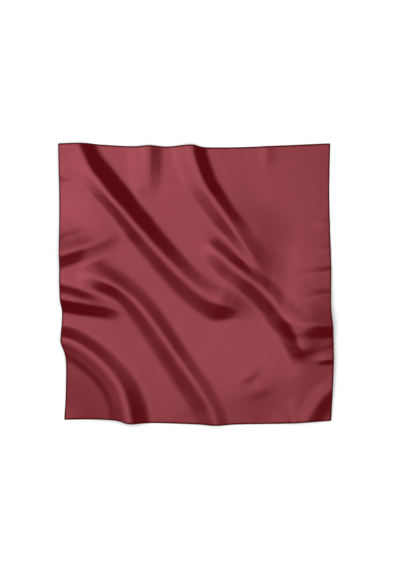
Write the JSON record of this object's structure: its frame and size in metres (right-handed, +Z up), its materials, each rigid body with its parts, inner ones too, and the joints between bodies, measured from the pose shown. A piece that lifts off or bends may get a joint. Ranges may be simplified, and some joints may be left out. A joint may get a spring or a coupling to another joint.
{
  "type": "headscarf",
  "caption": "Square satin headscarf laid flat, with soft diagonal folds and a narrow rolled hem on all four sides.",
  "frame": {"origin": "middle of the scarf's outline box, on the surface that the scarf lies on", "axes": "+Z up from the surface, +Y towards the top side of the scarf as laid, +X towards its right side"},
  "size_m": [0.8906, 0.915, 0.0334],
  "materials": {
    "satin": "smooth silk satin, dull wine red, with a soft sheen",
    "satin_hem": "rolled satin edge, darker because it is rolled tight"
  },
  "bodies": {
    "root": {"scarf_panel": "satin", "hem_bottom": "satin_hem", "hem_top": "satin_hem", "hem_left": "satin_hem", "hem_right": "satin_hem"}
  },
  "joints": []
}
